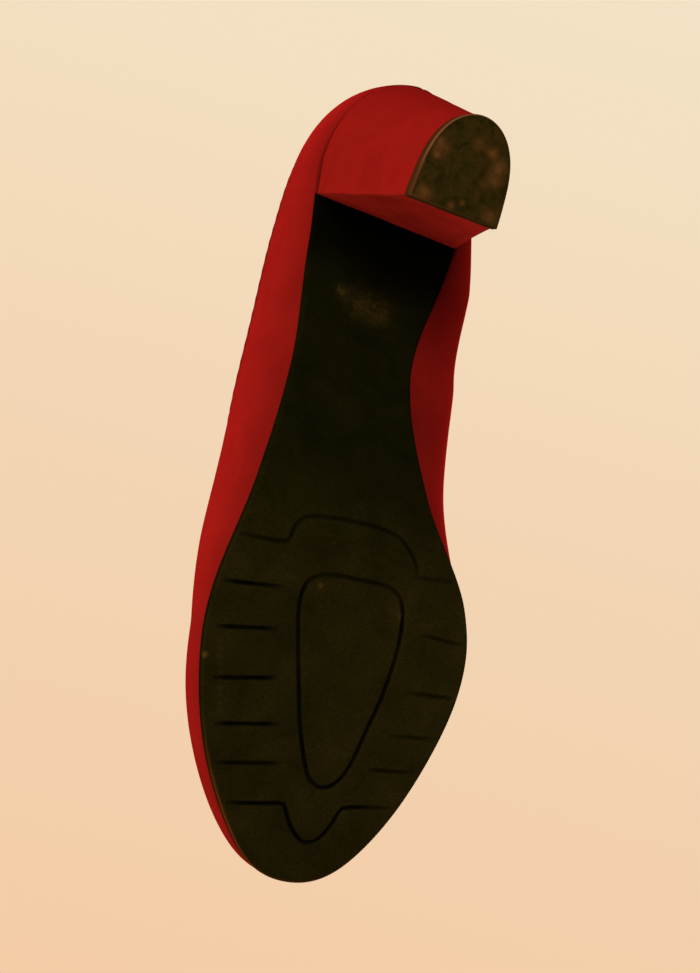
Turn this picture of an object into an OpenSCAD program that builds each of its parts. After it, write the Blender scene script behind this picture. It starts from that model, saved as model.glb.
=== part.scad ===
// Low pump (court shoe) with a covered block heel, left foot, standing upright.
// Toe towards -Y, heel towards +Y, outer (lateral) side +X, arch side -X, ground at z = 0.

/* [Leather and lining] */
// Thickness of the outer leather
upper_t = 1.2; // [0.8:0.1:1.8]
// Thickness of the lining leather
lining_t = 0.8; // [0.5:0.1:1.2]
// Thickness of the heel counter
counter_t = 1.3; // [0.8:0.1:2.0]
// Thickness of the toe puff
puff_t = 0.6; // [0.4:0.1:1.2]
// Width of the lasting margin turned in under the board
margin_w = 8.5; // [6:0.5:12]

/* [Bottom] */
// Thickness of the insole board
board_t = 2.0; // [1.4:0.1:3.0]
// Thickness of the sock lining
sock_t = 0.8; // [0.5:0.1:1.5]
// Height of the heel pad's cushion
pad_t = 2.2; // [1:0.1:4]
// Depth of the tread grooves
groove_d = 0.9; // [0.4:0.1:1.4]
// Width of the tread grooves
groove_w = 1.2; // [0.8:0.1:2.0]

/* [Heel] */
// Thickness of the top lift the heel stands on
lift_t = 4.2; // [3:0.1:8]
// Thickness of the heel's covering
cover_t = 0.9; // [0.6:0.1:1.5]

/* [Hidden] */
$fn = 32;
// puts the middle of the shoe's plan box on the origin
shift = [0.34, 2.415, 0];

// Underside of the outsole along the shoe: y, z
RY = [-118, -105, -90, -75, -60, -45, -30, -15, 0, 20, 40, 55, 68, 90, 112];
RZ = [7.5, 4.5, 2.0, 0.6, 0, 0, 1.4, 5.4, 13, 27, 41.5, 50, 55.5, 61, 64.5];
// Thickness of the outsole along the shoe, thinned towards the heel breast
TO = [[-118, 3.2], [-20, 3.2], [20, 2.6], [50, 2.0], [66, 1.0], [112, 1.0]];

// Stations round the shoe from the toe tip, outer side first.
// feather edge x, y; topline x, y, z; swell out and up off the feather; swell out and down off the topline
ST = [
  [-6.7, -115.6, -2, -48, 44, 2, 7, 31, 4],
  [8, -111, 10, -47, 44, 7, 9, 29, 4],
  [24, -90, 19, -42, 45, 6.6, 11, 19, 4],
  [33.5, -66, 25, -33, 47, 3.3, 13, 9.2, 6],
  [36, -42, 28, -18, 51, 3.9, 15, 7, 8],
  [30, -11, 29.6, 4, 57, 3, 14, 4.5, 9],
  [22.5, 25, 27.4, 32, 69, 3, 12, 2, 10],
  [20.8, 58, 24.2, 59, 83, 3, 12, 2.5, 10],
  [20.8, 84, 18.3, 83, 99, 4.6, 14, 3.5, 12],
  [11.8, 103.2, 8.5, 100.5, 109, 2.2, 15, 4, 13],
  [-4.6, 110.1, -4.5, 107, 112.5, 2.4, 15, 3.6, 14],
  [-19.6, 100.8, -17, 99, 109, 4, 15, 4, 13],
  [-25.4, 84, -24, 82, 99, 7.5, 12, 3, 12],
  [-21, 58, -29, 58, 83, 20.5, 8, 6, 10],
  [-11.5, 25, -31, 30, 69, 23, 7, 4, 12],
  [-17.5, -6, -32, 4, 58, 12.5, 9, 3, 10],
  [-33, -33, -29, -16, 52, 4.5, 15, 6, 8],
  [-37, -56, -25, -32, 47, 3, 14, 12, 6],
  [-30.3, -86.6, -20, -41, 45, 3, 12, 20, 4],
  [-19.2, -108.6, -11, -46.5, 44, 2.5, 9, 29, 4]
];
K = len(ST);

// ---- curves ----
function seg(xs, y, i = 0) = (i >= len(xs) - 2 || y < xs[i + 1]) ? i : seg(xs, y, i + 1);
function slope(xs, ys, i) = let (a = max(0, i - 1), b = min(len(xs) - 1, i + 1))
  (i > a && i < b && (ys[i] - ys[a]) * (ys[b] - ys[i]) <= 0) ? 0 : (ys[b] - ys[a]) / (xs[b] - xs[a]);
function zs(y0) = let (
  y = max(RY[0], min(RY[len(RY) - 1], y0)),
  i = seg(RY, y),
  h = RY[i + 1] - RY[i],
  t = (y - RY[i]) / h)
  (2 * t * t * t - 3 * t * t + 1) * RZ[i] + (t * t * t - 2 * t * t + t) * h * slope(RY, RZ, i)
  + (3 * t * t - 2 * t * t * t) * RZ[i + 1] + (t * t * t - t * t) * h * slope(RY, RZ, i + 1);
// level of the outsole's top, which the whole shoe above is built on
function zb(y) = zs(y) + lookup(y, TO);
function tilt(y) = atan((zb(y + 0.5) - zb(y - 0.5)));
function st(i) = ST[((i % K) + K) % K];
function row(u) = let (i = floor(u), t = u - i, a = st(i - 1), b = st(i), c = st(i + 1), d = st(i + 2))
  0.5 * (2 * b + (c - a) * t + (2 * a - 5 * b + 4 * c - d) * t * t + (3 * b - a - 3 * c + d) * t * t * t);
function out(u) = let (a = row(u + 0.02), b = row(u - 0.02), d = [a[0] - b[0], a[1] - b[1]])
  [d[1], -d[0], 0] / norm(d);
// outer skin of the shoe's side at station u, from feather edge v = 0 to topline v = 1
function S(u, v) = let (
  r = row(u), n = out(u), w = 1 - v,
  F = [r[0], r[1], zb(r[1])],
  T = [r[2], r[3], r[4]],
  P = F + n * r[5] + [0, 0, r[6]],
  Q = T + n * r[7] - [0, 0, r[8]])
  w * w * w * F + 3 * w * w * v * P + 3 * w * v * v * Q + v * v * v * T;
function N(u, v) = let (c = cross(S(u + 0.03, v) - S(u - 0.03, v), S(u, v + 0.02) - S(u, v - 0.02)))
  c / norm(c);
function D(u, v, d) = S(u, v) - d * N(u, v);
function ease(x) = let (t = max(0, min(1, x))) t * t * (3 - 2 * t);
function wrap(u) = u > K / 2 ? u - K : u;
// room the stiffeners take between upper and lining
function stiff(u0, v) = let (u = ((u0 % K) + K) % K, h = abs(u - K / 2), p = abs(wrap(u)))
  counter_t * ease((3.3 - h) / 0.8) * ease((0.97 - v) / 0.17)
  + puff_t * ease((3.0 - p) / 0.7) * ease((0.72 - v) / 0.2);
gap = 0.05;
function lin0(u, v) = upper_t + gap + (stiff(u, v) > 0.01 ? stiff(u, v) + gap : 0);

// ---- lofts ----
// closed tube of sections; ring joins the last to the first, otherwise flat-folded ends
module loft(sec, ring = false) {
  n = len(sec);
  m = len(sec[0]);
  last = ring ? n : n - 1;
  side = [for (i = [0:last - 1], k = [0:m - 1]) let (
    a = i * m + k, b = i * m + (k + 1) % m,
    c = ((i + 1) % n) * m + (k + 1) % m, d = ((i + 1) % n) * m + k)
    each [[a, b, c], [a, c, d]]];
  ends = ring ? [] : [for (j = [0:m / 2 - 2]) let (a = j, b = j + 1, c = m - 2 - j, d = m - 1 - j, o = (n - 1) * m)
    each [[d, c, b], [d, b, a], [o + a, o + b, o + c], [o + a, o + c, o + d]]];
  polyhedron(points = [for (s = sec, p = s) p], faces = concat(side, ends), convexity = 8);
}
function span(a, b, n) = [for (i = [0:n]) a + (b - a) * i / n];
// slab between two depths of the side, us stations by nv steps from v0 to v1
function wall(us, v0, v1, nv, lin, a, b) = [for (u = us) concat(
  [for (j = [0:nv]) let (v = v0 + (v1 - v0) * j / nv) D(u, v, (lin ? lin0(u, v) : 0) + a)],
  [for (j = [nv:-1:0]) let (v = v0 + (v1 - v0) * j / nv) D(u, v, (lin ? lin0(u, v) : 0) + b)])];
// point of the bottom: outer station ul, arch station um, c = 0 arch side to 1 outer side
function bot(ul, um, c, ins, h, top) = let (
  a = row(ul), b = row(um),
  L = [a[0], a[1], 0] - out(ul) * ins,
  M = [b[0], b[1], 0] - out(um) * ins,
  p = M + (L - M) * c)
  [p[0], p[1], (top ? zb(p[1]) : zs(p[1])) + h];
// slab following the bottom; rows are pairs of stations
function slab(rows, nc, ins, h0, h1, low = false, dome = 0) = [for (q = rows) let (
  e = dome == 0 ? 0 : ease((q[0] - rows[0][0]) / 0.5) * ease((rows[len(rows) - 1][0] - q[0]) / 0.5)) concat(
  [for (j = [nc:-1:0]) bot(q[0], q[1], j / nc, ins, h0, !low)],
  [for (j = [0:nc]) let (x = 2 * j / nc - 1) bot(q[0], q[1], j / nc, ins, h1 + dome * e * (1 - x * x * x * x), true)])];
function pairs(ss) = [for (s = ss) [s, K - s]];
module place() translate(shift) children();

// ---- heel ----
// plan outline of the heel at height t (0 at the top lift, 1 at the seat), taken in by ins
heel_n = 12;
// half width at the breast and at the widest, and length back from the breast: at the top lift, at the seat
breast_hw = [13.2, 22.6];
widest_hw = [13.0, 23.9];
heel_len = [27, 41.5];
// middle of the breast line at the top lift, and how far it leans towards the toe at the seat
breast_mid = [-0.85, 69.6];
breast_lean = 1.1;
// degrees the heel is turned outwards in plan
heel_turn = 4;
// how the sides and the back flare towards the seat
side_flare = 1.1;
back_flare = 1.0;
function flare(ends, t, p) = ends[0] + (ends[1] - ends[0]) * pow(t, p);
function hpt(t, a, side, ins, front = 0) = let (
  w0 = flare(breast_hw, t, side_flare), w1 = flare(widest_hw, t, side_flare),
  l = flare(heel_len, t, back_flare) - ins,
  k = w0 / w1 + (1 - w0 / w1) * ease(a / 0.3),
  hw = (w1 * k - ins) * sqrt(max(0, 1 - a * a * a)),
  al = front + a * (l - front), g = heel_turn + t)
  [breast_mid[0] - sin(g) * al + cos(g) * hw * side,
   breast_mid[1] - breast_lean * t + cos(g) * al + sin(g) * hw * side];
function hz(p, t) = lift_t + t * (zb(p[1]) - lift_t);
function hedge(t, ins, front = 0) = concat(
  [for (j = [0:heel_n]) hpt(t, sin(90 * j / heel_n), 1, ins, front)],
  [for (j = [heel_n - 1:-1:0]) hpt(t, sin(90 * j / heel_n), -1, ins, front)]);
heel_rows = [0, 0.08, 0.2, 0.34, 0.5, 0.66, 0.8, 0.9, 1];

SCREW = [-2.6, 88];
NAILS = [[11, 78], [-15, 77], [10, 95], [-16, 94], [-4, 102]];
PINS = [[-0.6, 76.5], [-1.6, 88]];

module outsole_blank() {
  ss = [0.04, 0.12, 0.25, 0.42, 0.65, 1, 1.33, 1.66, 2, 2.4, 2.8, 3.2, 3.6, 4, 4.35, 4.7, 5, 5.3, 5.6, 6, 6.4, 6.8, 7.15];
  loft(slab(concat(pairs(ss), [[7.46, 12.70]]), 6, -0.5, 0, -0.02, true));
}
module cut(p, q) hull() {
  translate([p[0], p[1], zs(p[1]) - 3]) cylinder(h = 3 + groove_d, r = groove_w / 2, $fn = 8);
  translate([q[0], q[1], zs(q[1]) - 3]) cylinder(h = 3 + groove_d, r = groove_w / 2, $fn = 8);
}
module groove(path, shut = false) {
  for (i = [0:len(path) - (shut ? 1 : 2)]) cut(path[i], path[(i + 1) % len(path)]);
}
module outsole() color([0.09, 0.08, 0.05]) place() difference() {
  outsole_blank();
  groove([[10.4, -52], [12.8, -42], [12.2, -36.1], [9.4, -33.4], [5.5, -32.2], [-1.3, -31.8], [-8, -31.6],
    [-12.4, -32.4], [-15, -34.8], [-16.4, -39], [-17.2, -48], [-16.4, -60], [-14.6, -70.5], [-12.8, -80.8],
    [-10.6, -86], [-7.3, -88.4], [-4, -87.6], [-1, -84.2], [3.6, -74], [7.2, -63]], true);
  groove([[32.4, -27.4], [26, -27.1], [20.4, -26.5], [19.2, -25], [18.4, -21.8], [15.7, -19], [11.2, -17.9], [4, -17.1],
    [-5.2, -17.1], [-11.2, -18.3], [-14.6, -21], [-17, -24], [-18.2, -27.4]]);
  groove([[-18, -27.6], [-29, -26.2]]);
  groove([[17, -97.8], [7.6, -96], [2.6, -95], [1.2, -96.2], [-0.6, -99.1], [-3.5, -102.3], [-6.6, -104.1],
    [-10, -102.9], [-12.4, -98.6], [-13.8, -93.8], [-15.6, -92.4], [-20.9, -91.2], [-27, -90.3]]);
  // sipes of the outer side, then of the arch side
  groove([[34, -40.3], [18.2, -38.4]]);
  groove([[33, -52.4], [17.2, -49.6]]);
  groove([[30.2, -65.8], [14, -62.3]]);
  groove([[26.5, -77.6], [10, -74.2]]);
  groove([[22.8, -87.7], [6.3, -84.4]]);
  groove([[-34.6, -42.4], [-23.3, -42.2]]);
  groove([[-35.2, -57.2], [-23.2, -58.3]]);
  groove([[-33.2, -69], [-22, -70.7]]);
  groove([[-29.8, -79.3], [-18.5, -81]]);
}

module upper() color([0.70, 0.08, 0.07]) place() {
  us = span(0, K, K * 5);
  nv = 13;
  sec = [for (i = [0:len(us) - 2]) let (u = us[i], f = row(u), n = out(u),
    g = [f[0], f[1], 0] - n * margin_w) concat(
    [for (j = [0:nv]) S(u, 0.985 * j / nv)],
    [for (j = [nv:-1:0]) D(u, 0.075 + 0.91 * j / nv, upper_t)],
    [let (h = [f[0], f[1], 0] - n * 1.7) [h[0], h[1], zb(h[1]) + upper_t],
     [g[0], g[1], zb(g[1]) + upper_t], [g[0], g[1], zb(g[1])]])];
  loft(sec, true);
}
module topline_binding() color([0.60, 0.06, 0.05]) place() {
  us = span(0, K, K * 5);
  // depth of the lining's inner face at the topline
  in = upper_t + lining_t + 0.1;
  loft([for (i = [0:len(us) - 2]) let (u = us[i]) [
    D(u, 0.965, -0.05), D(u, 0.98, -0.3), D(u, 0.997, -0.1), D(u, 1.006, 0.5), D(u, 1.006, in - 0.4),
    D(u, 0.997, in + 0.1), D(u, 0.98, in + 0.25), D(u, 0.965, in), D(u, 0.987, in - 0.02), D(u, 0.987, 0)]], true);
}
module stitch(u, v, du, dv) {
  p = D(u - du, v - dv, 0.12);
  q = D(u + du, v + dv, 0.12);
  a = (q - p) / norm(q - p);
  n = N(u, v);
  s = cross(n, a) * 0.22;
  m = n * 0.3;
  loft([[p - s, p + s, p + s * 0.7 + m, p - s * 0.7 + m], [q - s, q + s, q + s * 0.7 + m, q - s * 0.7 + m]]);
}
module topline_stitching() color([0.55, 0.06, 0.05]) place() {
  for (i = [0:119]) stitch((i + 0.5) * K / 120, 0.93, 0.045, 0);
}
module back_seam_stitching() color([0.55, 0.06, 0.05]) place() {
  for (s = [-0.06, 0.06], i = [0:12]) stitch(K / 2 + s, 0.14 + i * 0.06, 0, 0.018);
}
module vamp_lining() color([0.86, 0.74, 0.58]) place()
  loft(wall(span(-4.55, 4.55, 40), 0.05, 0.985, 9, true, gap, gap + lining_t));
module quarter_lining() color([0.86, 0.74, 0.58]) place()
  loft(wall(span(4.58, 15.42, 46), 0.05, 0.985, 9, true, gap, gap + lining_t));
module heel_grip() color([0.78, 0.66, 0.52]) place()
  loft(wall(span(8.3, 11.7, 20), 0.3, 0.95, 6, true, 2 * gap + lining_t, 2 * gap + lining_t + 0.7));
module heel_counter() color([0.55, 0.47, 0.36]) place()
  loft(wall(span(7.4, 12.6, 26), 0.09, 0.78, 6, false, upper_t + gap, upper_t + gap + counter_t - 0.1));
module toe_puff() color([0.75, 0.72, 0.66]) place()
  loft(wall(span(-2.25, 2.25, 18), 0.09, 0.5, 5, false, upper_t + gap, upper_t + gap + puff_t));

board_rows = [0.06, 0.2, 0.4, 0.7, 1, 1.5, 2, 2.5, 3, 3.5, 4, 4.5, 5, 5.5, 6, 6.5, 7, 7.5, 8, 8.4, 8.75, 9.05, 9.3, 9.5, 9.7, 9.85, 9.94];
module at(p, h) translate([p[0], p[1], zb(p[1]) + h]) children();
module square_to_board(x, y, h) translate([x, y, zb(y) + h]) rotate([tilt(y), 0, 0]) children();
top_b = upper_t + board_t;
RIVETS = [[5.5, 8], [2.2, 52]];
module insole_board() color([0.72, 0.60, 0.44]) place() difference() {
  loft(slab(pairs(board_rows), 6, 2.5, upper_t, top_b));
  at(SCREW, 0) cylinder(h = 12, r = 4.6);
  for (p = NAILS) at(p, 0) cylinder(h = 12, r = 2.3);
  for (p = RIVETS) square_to_board(p[0], p[1], -3) cylinder(h = 12, r = 1.7);
}
// centre line of the shank: y, x
SHX = [[-12, 5.2], [10, 5.6], [30, 4.6], [58, 0.5], [92, -2.8]];
module shank() color([0.55, 0.56, 0.58]) place() difference() {
  loft([for (y = span(-12, 92, 20)) let (x = lookup(y, SHX), w = y < -6 ? 4.2 : 6) [
    [x + w, y, zb(y) + 0.08], [x - w, y, zb(y) + 0.08], [x - w, y, zb(y) + 1.1], [x + w, y, zb(y) + 1.1]]]);
  at(SCREW, -5) cylinder(h = 12, r = 2.3);
  for (p = RIVETS) square_to_board(p[0], p[1], -3) cylinder(h = 12, r = 1.7);
}
module shank_rivets() color([0.78, 0.66, 0.35]) place()
  for (p = RIVETS) square_to_board(p[0], p[1], 0.1) cylinder(h = top_b - 0.25, r = 1.6);
module bottom_filler() color([0.55, 0.38, 0.22]) place()
  loft(slab(pairs([0.9, 1.2, 1.6, 2, 2.5, 3, 3.5, 4, 4.4]), 4, margin_w + 0.6, 0.06, upper_t - 0.06));
// the sock spreads over the arch side, where the upper swells out past the board
function sock_in(u) = 1.7 + stiff(u, 0.1) - 0.22 * max(0, row(u)[5] - 4);
function sockpt(ul, um, c, h) = let (
  a = row(ul), b = row(um),
  L = [a[0], a[1], 0] - out(ul) * sock_in(ul),
  M = [b[0], b[1], 0] - out(um) * sock_in(um),
  p = M + (L - M) * c)
  [p[0], p[1], zb(p[1]) + h];
module sock_lining() color([0.86, 0.74, 0.58]) place()
  loft([for (s = board_rows) concat(
    [for (j = [6:-1:0]) sockpt(s, K - s, j / 6, top_b + 0.03)],
    [for (j = [0:6]) sockpt(s, K - s, j / 6, top_b + sock_t)])]);
module heel_pad() color([0.82, 0.70, 0.54]) place()
  loft(slab(pairs([6.95, 7.1, 7.3, 7.6, 7.9, 8.2, 8.5, 8.8, 9.05, 9.25, 9.4, 9.5]), 8, 6.5, top_b + sock_t + 0.03,
    top_b + sock_t + 0.5, false, pad_t));

module heel_block() color([0.80, 0.78, 0.72]) place() difference() {
  loft_capped([for (t = heel_rows) [for (p = hedge(t, cover_t + gap, cover_t + gap)) [p[0], p[1], hz(p, t) - (t == 1 ? 0.05 : 0)]]]);
  translate([SCREW[0], SCREW[1], 30]) cylinder(h = 50, r = 2.1);
  for (p = NAILS) at(p, -16) cylinder(h = 30, r = 1.0);
  for (p = PINS) translate([p[0], p[1], -1]) cylinder(h = 17, r = 1.5);
}
// tube of plan rings closed by flat fans at both ends
module loft_capped(sec) {
  n = len(sec);
  m = len(sec[0]);
  side = [for (i = [0:n - 2], k = [0:m - 1]) let (
    a = i * m + k, b = i * m + (k + 1) % m, c = (i + 1) * m + (k + 1) % m, d = (i + 1) * m + k)
    each [[a, d, c], [a, c, b]]];
  half = (m - 1) / 2;
  o = (n - 1) * m;
  ends = [for (j = [0:half - 1]) let (a = j, b = j + 1, c = m - 2 - j, d = m - 1 - j)
    each concat([[a, b, d], [o + d, o + b, o + a]], b == c ? [] : [[b, c, d], [o + d, o + c, o + b]])];
  polyhedron(points = [for (s = sec, p = s) p], faces = concat(side, ends), convexity = 8);
}
module heel_cover() color([0.72, 0.08, 0.07]) place()
  loft([for (t = heel_rows) let (a = hedge(t, 0), b = hedge(t, cover_t)) concat(
    [for (p = a) [p[0], p[1], hz(p, t)]],
    [for (k = [len(b) - 1:-1:0]) [b[k][0], b[k][1], hz(b[k], t)]])]);
module heel_breast_flap() color([0.62, 0.07, 0.06]) place()
  loft([for (t = heel_rows) let (
    a = hpt(t, 0, 1, cover_t + 0.06), b = hpt(t, 0, -1, cover_t + 0.06),
    g = heel_turn + t, f = [-sin(g), cos(g)] * cover_t) [
    [a[0], a[1], hz(a, t)], [a[0] + f[0], a[1] + f[1], hz(a, t)],
    [b[0] + f[0], b[1] + f[1], hz(b, t)], [b[0], b[1], hz(b, t)]]]);
module heel_screw() color([0.50, 0.50, 0.52]) place() translate([SCREW[0], SCREW[1], 0]) {
  zt = zb(SCREW[1]) + top_b - 0.7;
  translate([0, 0, 34]) cylinder(h = zt - 36, r = 2.0);
  translate([0, 0, zt - 2.2]) cylinder(h = 2.2, r1 = 2.0, r2 = 4.2);
}
module heel_nails() color([0.45, 0.45, 0.46]) place() for (p = NAILS) {
  at(p, -15) cylinder(h = 15 + top_b - 0.6, r = 0.9);
  at(p, top_b - 1.4) cylinder(h = 0.9, r = 2.1);
}
module top_lift() color([0.14, 0.12, 0.09]) place() difference() {
  linear_extrude(height = lift_t - 0.03) polygon(hedge(0, -0.05, -0.05));
  for (p = PINS) translate([p[0], p[1], 1.6]) cylinder(h = 10, r = 1.45);
}
module top_lift_pins() color([0.60, 0.60, 0.62]) place()
  for (p = PINS) translate([p[0], p[1], 1.65]) cylinder(h = 13.5, r = 1.4);

outsole();
upper();
topline_binding();
topline_stitching();
back_seam_stitching();
vamp_lining();
quarter_lining();
heel_grip();
toe_puff();
heel_counter();
insole_board();
shank();
shank_rivets();
bottom_filler();
sock_lining();
heel_pad();
heel_block();
heel_cover();
heel_breast_flap();
heel_screw();
heel_nails();
top_lift();
top_lift_pins();
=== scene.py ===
"""Looks of a low pump with a covered block heel (left foot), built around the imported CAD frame."""

import math

import bmesh
import bpy
import numpy as np
from mathutils import Matrix, Vector, kdtree, noise


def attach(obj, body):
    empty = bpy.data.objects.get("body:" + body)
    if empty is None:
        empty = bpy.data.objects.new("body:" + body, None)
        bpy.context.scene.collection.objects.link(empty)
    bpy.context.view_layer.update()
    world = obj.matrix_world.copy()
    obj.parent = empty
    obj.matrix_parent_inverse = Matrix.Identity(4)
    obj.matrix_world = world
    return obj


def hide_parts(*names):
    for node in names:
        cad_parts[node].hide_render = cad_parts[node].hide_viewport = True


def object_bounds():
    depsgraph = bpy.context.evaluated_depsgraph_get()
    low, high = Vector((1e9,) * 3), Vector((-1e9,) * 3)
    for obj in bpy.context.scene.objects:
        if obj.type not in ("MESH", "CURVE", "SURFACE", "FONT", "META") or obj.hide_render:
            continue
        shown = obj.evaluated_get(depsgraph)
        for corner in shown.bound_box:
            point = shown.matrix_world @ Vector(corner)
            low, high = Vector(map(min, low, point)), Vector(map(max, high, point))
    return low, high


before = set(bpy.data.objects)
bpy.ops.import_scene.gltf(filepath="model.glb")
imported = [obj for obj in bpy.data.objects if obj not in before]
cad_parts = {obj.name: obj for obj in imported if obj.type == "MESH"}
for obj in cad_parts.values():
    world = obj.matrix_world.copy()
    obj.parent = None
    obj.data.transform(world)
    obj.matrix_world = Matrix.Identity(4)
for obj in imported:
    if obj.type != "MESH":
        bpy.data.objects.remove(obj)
cad_low, cad_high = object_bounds()

# ---------------------------------------------------------------- driving sizes, in millimetres
MM = 0.001
SHIFT = np.array([0.34, 2.415, 0.0])  # puts the middle of the shoe's plan box on the origin
UP = np.array([0.0, 0.0, 1.0])

# thicknesses of the upper, lining, heel counter, toe puff and heel grip, and the glue between layers
UPPER_T, LINING_T, COUNTER_T, PUFF_T, GRIP_T, GAP = 1.2, 0.8, 1.3, 0.6, 0.7, 0.05
# width of the lasting margin; thicknesses of the insole board, sock, pad's crown, heel cover and top lift
MARGIN_W, BOARD_T, SOCK_T, PAD_T, COVER_T, LIFT_T = 8.5, 2.0, 0.8, 2.2, 0.9, 4.2
BOARD_TOP = UPPER_T + BOARD_T  # measured up from the outsole's top
SOLE_OUT, PAD_IN = 0.5, 6.5  # the outsole's edge outside and the heel pad's edge inside the feather edge
# depth and half width of a tread groove, and the width of its sloping wall
GROOVE_D, GROOVE_HALF, GROOVE_WALL = 0.9, 0.52, 0.5

# heights up the side from the feather edge (0) to the topline (1)
LINING_FOOT, STITCH_LINE, SKIN_TOP = 0.05, 0.93, 0.985
# stations at the ends of the linings and the heel grip, the breast's corners, and the pad's front and back
VAMP_ENDS, QUARTER_ENDS, GRIP_ENDS = (-4.60, 4.60), (4.50, 15.50), (8.3, 11.7)
BREAST_ENDS, PAD_ENDS = (7.46, 12.70), (6.97, 9.5)

# underside of the outsole along the shoe, and the outsole's thickness
ROCKER_Y = np.array([-118, -105, -90, -75, -60, -45, -30, -15, 0, 20, 40, 55, 68, 90, 112], float)
ROCKER_Z = np.array([7.5, 4.5, 2.0, 0.6, 0, 0, 1.4, 5.4, 13, 27, 41.5, 50, 55.5, 61, 64.5])
THICK_Y = [-118, -20, 20, 50, 66, 112]
THICK_T = [3.2, 3.2, 2.6, 2.0, 1.0, 1.0]

# stations round the shoe from the toe tip, outer side first: feather edge x, y; topline x, y, z;
# swell out and up off the feather edge; swell out and down off the topline
STATIONS = np.array([
    [-6.7, -115.6, -2, -48, 44, 2, 7, 31, 4],
    [8, -111, 10, -47, 44, 7, 9, 29, 4],
    [24, -90, 19, -42, 45, 6.6, 11, 19, 4],
    [33.5, -66, 25, -33, 47, 3.3, 13, 9.2, 6],
    [36, -42, 28, -18, 51, 3.9, 15, 7, 8],
    [30, -11, 29.6, 4, 57, 3, 14, 4.5, 9],
    [22.5, 25, 27.4, 32, 69, 3, 12, 2, 10],
    [20.8, 58, 24.2, 59, 83, 3, 12, 2.5, 10],
    [20.8, 84, 18.3, 83, 99, 4.6, 14, 3.5, 12],
    [11.8, 103.2, 8.5, 100.5, 109, 2.2, 15, 4, 13],
    [-4.6, 110.1, -4.5, 107, 112.5, 2.4, 15, 3.6, 14],
    [-19.6, 100.8, -17, 99, 109, 4, 15, 4, 13],
    [-25.4, 84, -24, 82, 99, 7.5, 12, 3, 12],
    [-21, 58, -29, 58, 83, 20.5, 8, 6, 10],
    [-11.5, 25, -31, 30, 69, 23, 7, 4, 12],
    [-17.5, -6, -32, 4, 58, 12.5, 9, 3, 10],
    [-33, -33, -29, -16, 52, 4.5, 15, 6, 8],
    [-37, -56, -25, -32, 47, 3, 14, 12, 6],
    [-30.3, -86.6, -20, -41, 45, 3, 12, 20, 4],
    [-19.2, -108.6, -11, -46.5, 44, 2.5, 9, 29, 4],
])
K = len(STATIONS)

# tread grooves in plan: a closed pick in the middle, a line across behind it, a line across the toe,
# and sipes: one at the arch end of the rear line, five on the outer side and four on the arch side
PICK = [[10.4, -52], [12.8, -42], [12.2, -36.1], [9.4, -33.4], [5.5, -32.2], [-1.3, -31.8], [-8, -31.6],
        [-12.4, -32.4], [-15, -34.8], [-16.4, -39], [-17.2, -48], [-16.4, -60], [-14.6, -70.5],
        [-12.8, -80.8], [-10.6, -86], [-7.3, -88.4], [-4, -87.6], [-1, -84.2], [3.6, -74], [7.2, -63]]
REAR_LINE = [[32.4, -27.4], [26, -27.1], [20.4, -26.5], [19.2, -25], [18.4, -21.8], [15.7, -19],
             [11.2, -17.9], [4, -17.1], [-5.2, -17.1], [-11.2, -18.3], [-14.6, -21], [-17, -24],
             [-18.2, -27.4]]
TOE_LINE = [[17, -97.8], [7.6, -96], [2.6, -95], [1.2, -96.2], [-0.6, -99.1], [-3.5, -102.3], [-6.6, -104.1],
            [-10, -102.9], [-12.4, -98.6], [-13.8, -93.8], [-15.6, -92.4], [-20.9, -91.2], [-27.6, -90.2]]
SIPES = [[[-18, -27.6], [-30, -26.1]],
         [[34, -40.3], [18.2, -38.4]], [[33, -52.4], [17.2, -49.6]], [[30.2, -65.8], [14, -62.3]],
         [[26.5, -77.6], [10, -74.2]], [[22.8, -87.7], [6.3, -84.4]],
         [[-35.6, -42.4], [-23.3, -42.2]], [[-36.4, -57.1], [-23.2, -58.3]],
         [[-34.4, -68.9], [-22, -70.7]], [[-30.8, -79.2], [-18.5, -81]]]


# ---------------------------------------------------------------- the shoe's curves
def knot_slopes(xs, ys):
    """Slopes of a smooth curve through the knots, level where the heights turn."""
    out = np.zeros(len(xs))
    for i in range(len(xs)):
        a, b = max(0, i - 1), min(len(xs) - 1, i + 1)
        turns = 0 < i < len(xs) - 1 and (ys[i] - ys[a]) * (ys[b] - ys[i]) <= 0
        out[i] = 0 if turns else (ys[b] - ys[a]) / (xs[b] - xs[a])
    return out


ROCKER_M = knot_slopes(ROCKER_Y, ROCKER_Z)


def under(y):
    """Level of the outsole's underside."""
    y = np.clip(y, ROCKER_Y[0], ROCKER_Y[-1])
    i = np.clip(np.searchsorted(ROCKER_Y, y, side="right") - 1, 0, len(ROCKER_Y) - 2)
    h = ROCKER_Y[i + 1] - ROCKER_Y[i]
    t = (y - ROCKER_Y[i]) / h
    return ((2 * t**3 - 3 * t**2 + 1) * ROCKER_Z[i] + (t**3 - 2 * t**2 + t) * h * ROCKER_M[i]
            + (3 * t**2 - 2 * t**3) * ROCKER_Z[i + 1] + (t**3 - t**2) * h * ROCKER_M[i + 1])


def sole_top(y):
    """Level of the outsole's top, which the shoe above is built on."""
    return under(y) + np.interp(y, THICK_Y, THICK_T)


def between(a, b, c, d, t):
    """A smooth curve through four values, at t from the second (0) to the third (1)."""
    return 0.5 * (2 * b + (c - a) * t + (2 * a - 5 * b + 4 * c - d) * t**2 + (3 * b - a - 3 * c + d) * t**3)


def row(u):
    """The nine numbers of STATIONS at any station u, on a smooth closed curve."""
    u = np.asarray(u, float) % K
    i = np.floor(u).astype(int)
    return between(*(STATIONS[(i + k) % K] for k in (-1, 0, 1, 2)), (u - i)[..., None])


def unit(v):
    """Vectors of the same direction and length 1."""
    return v / np.linalg.norm(v, axis=-1, keepdims=True)


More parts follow.
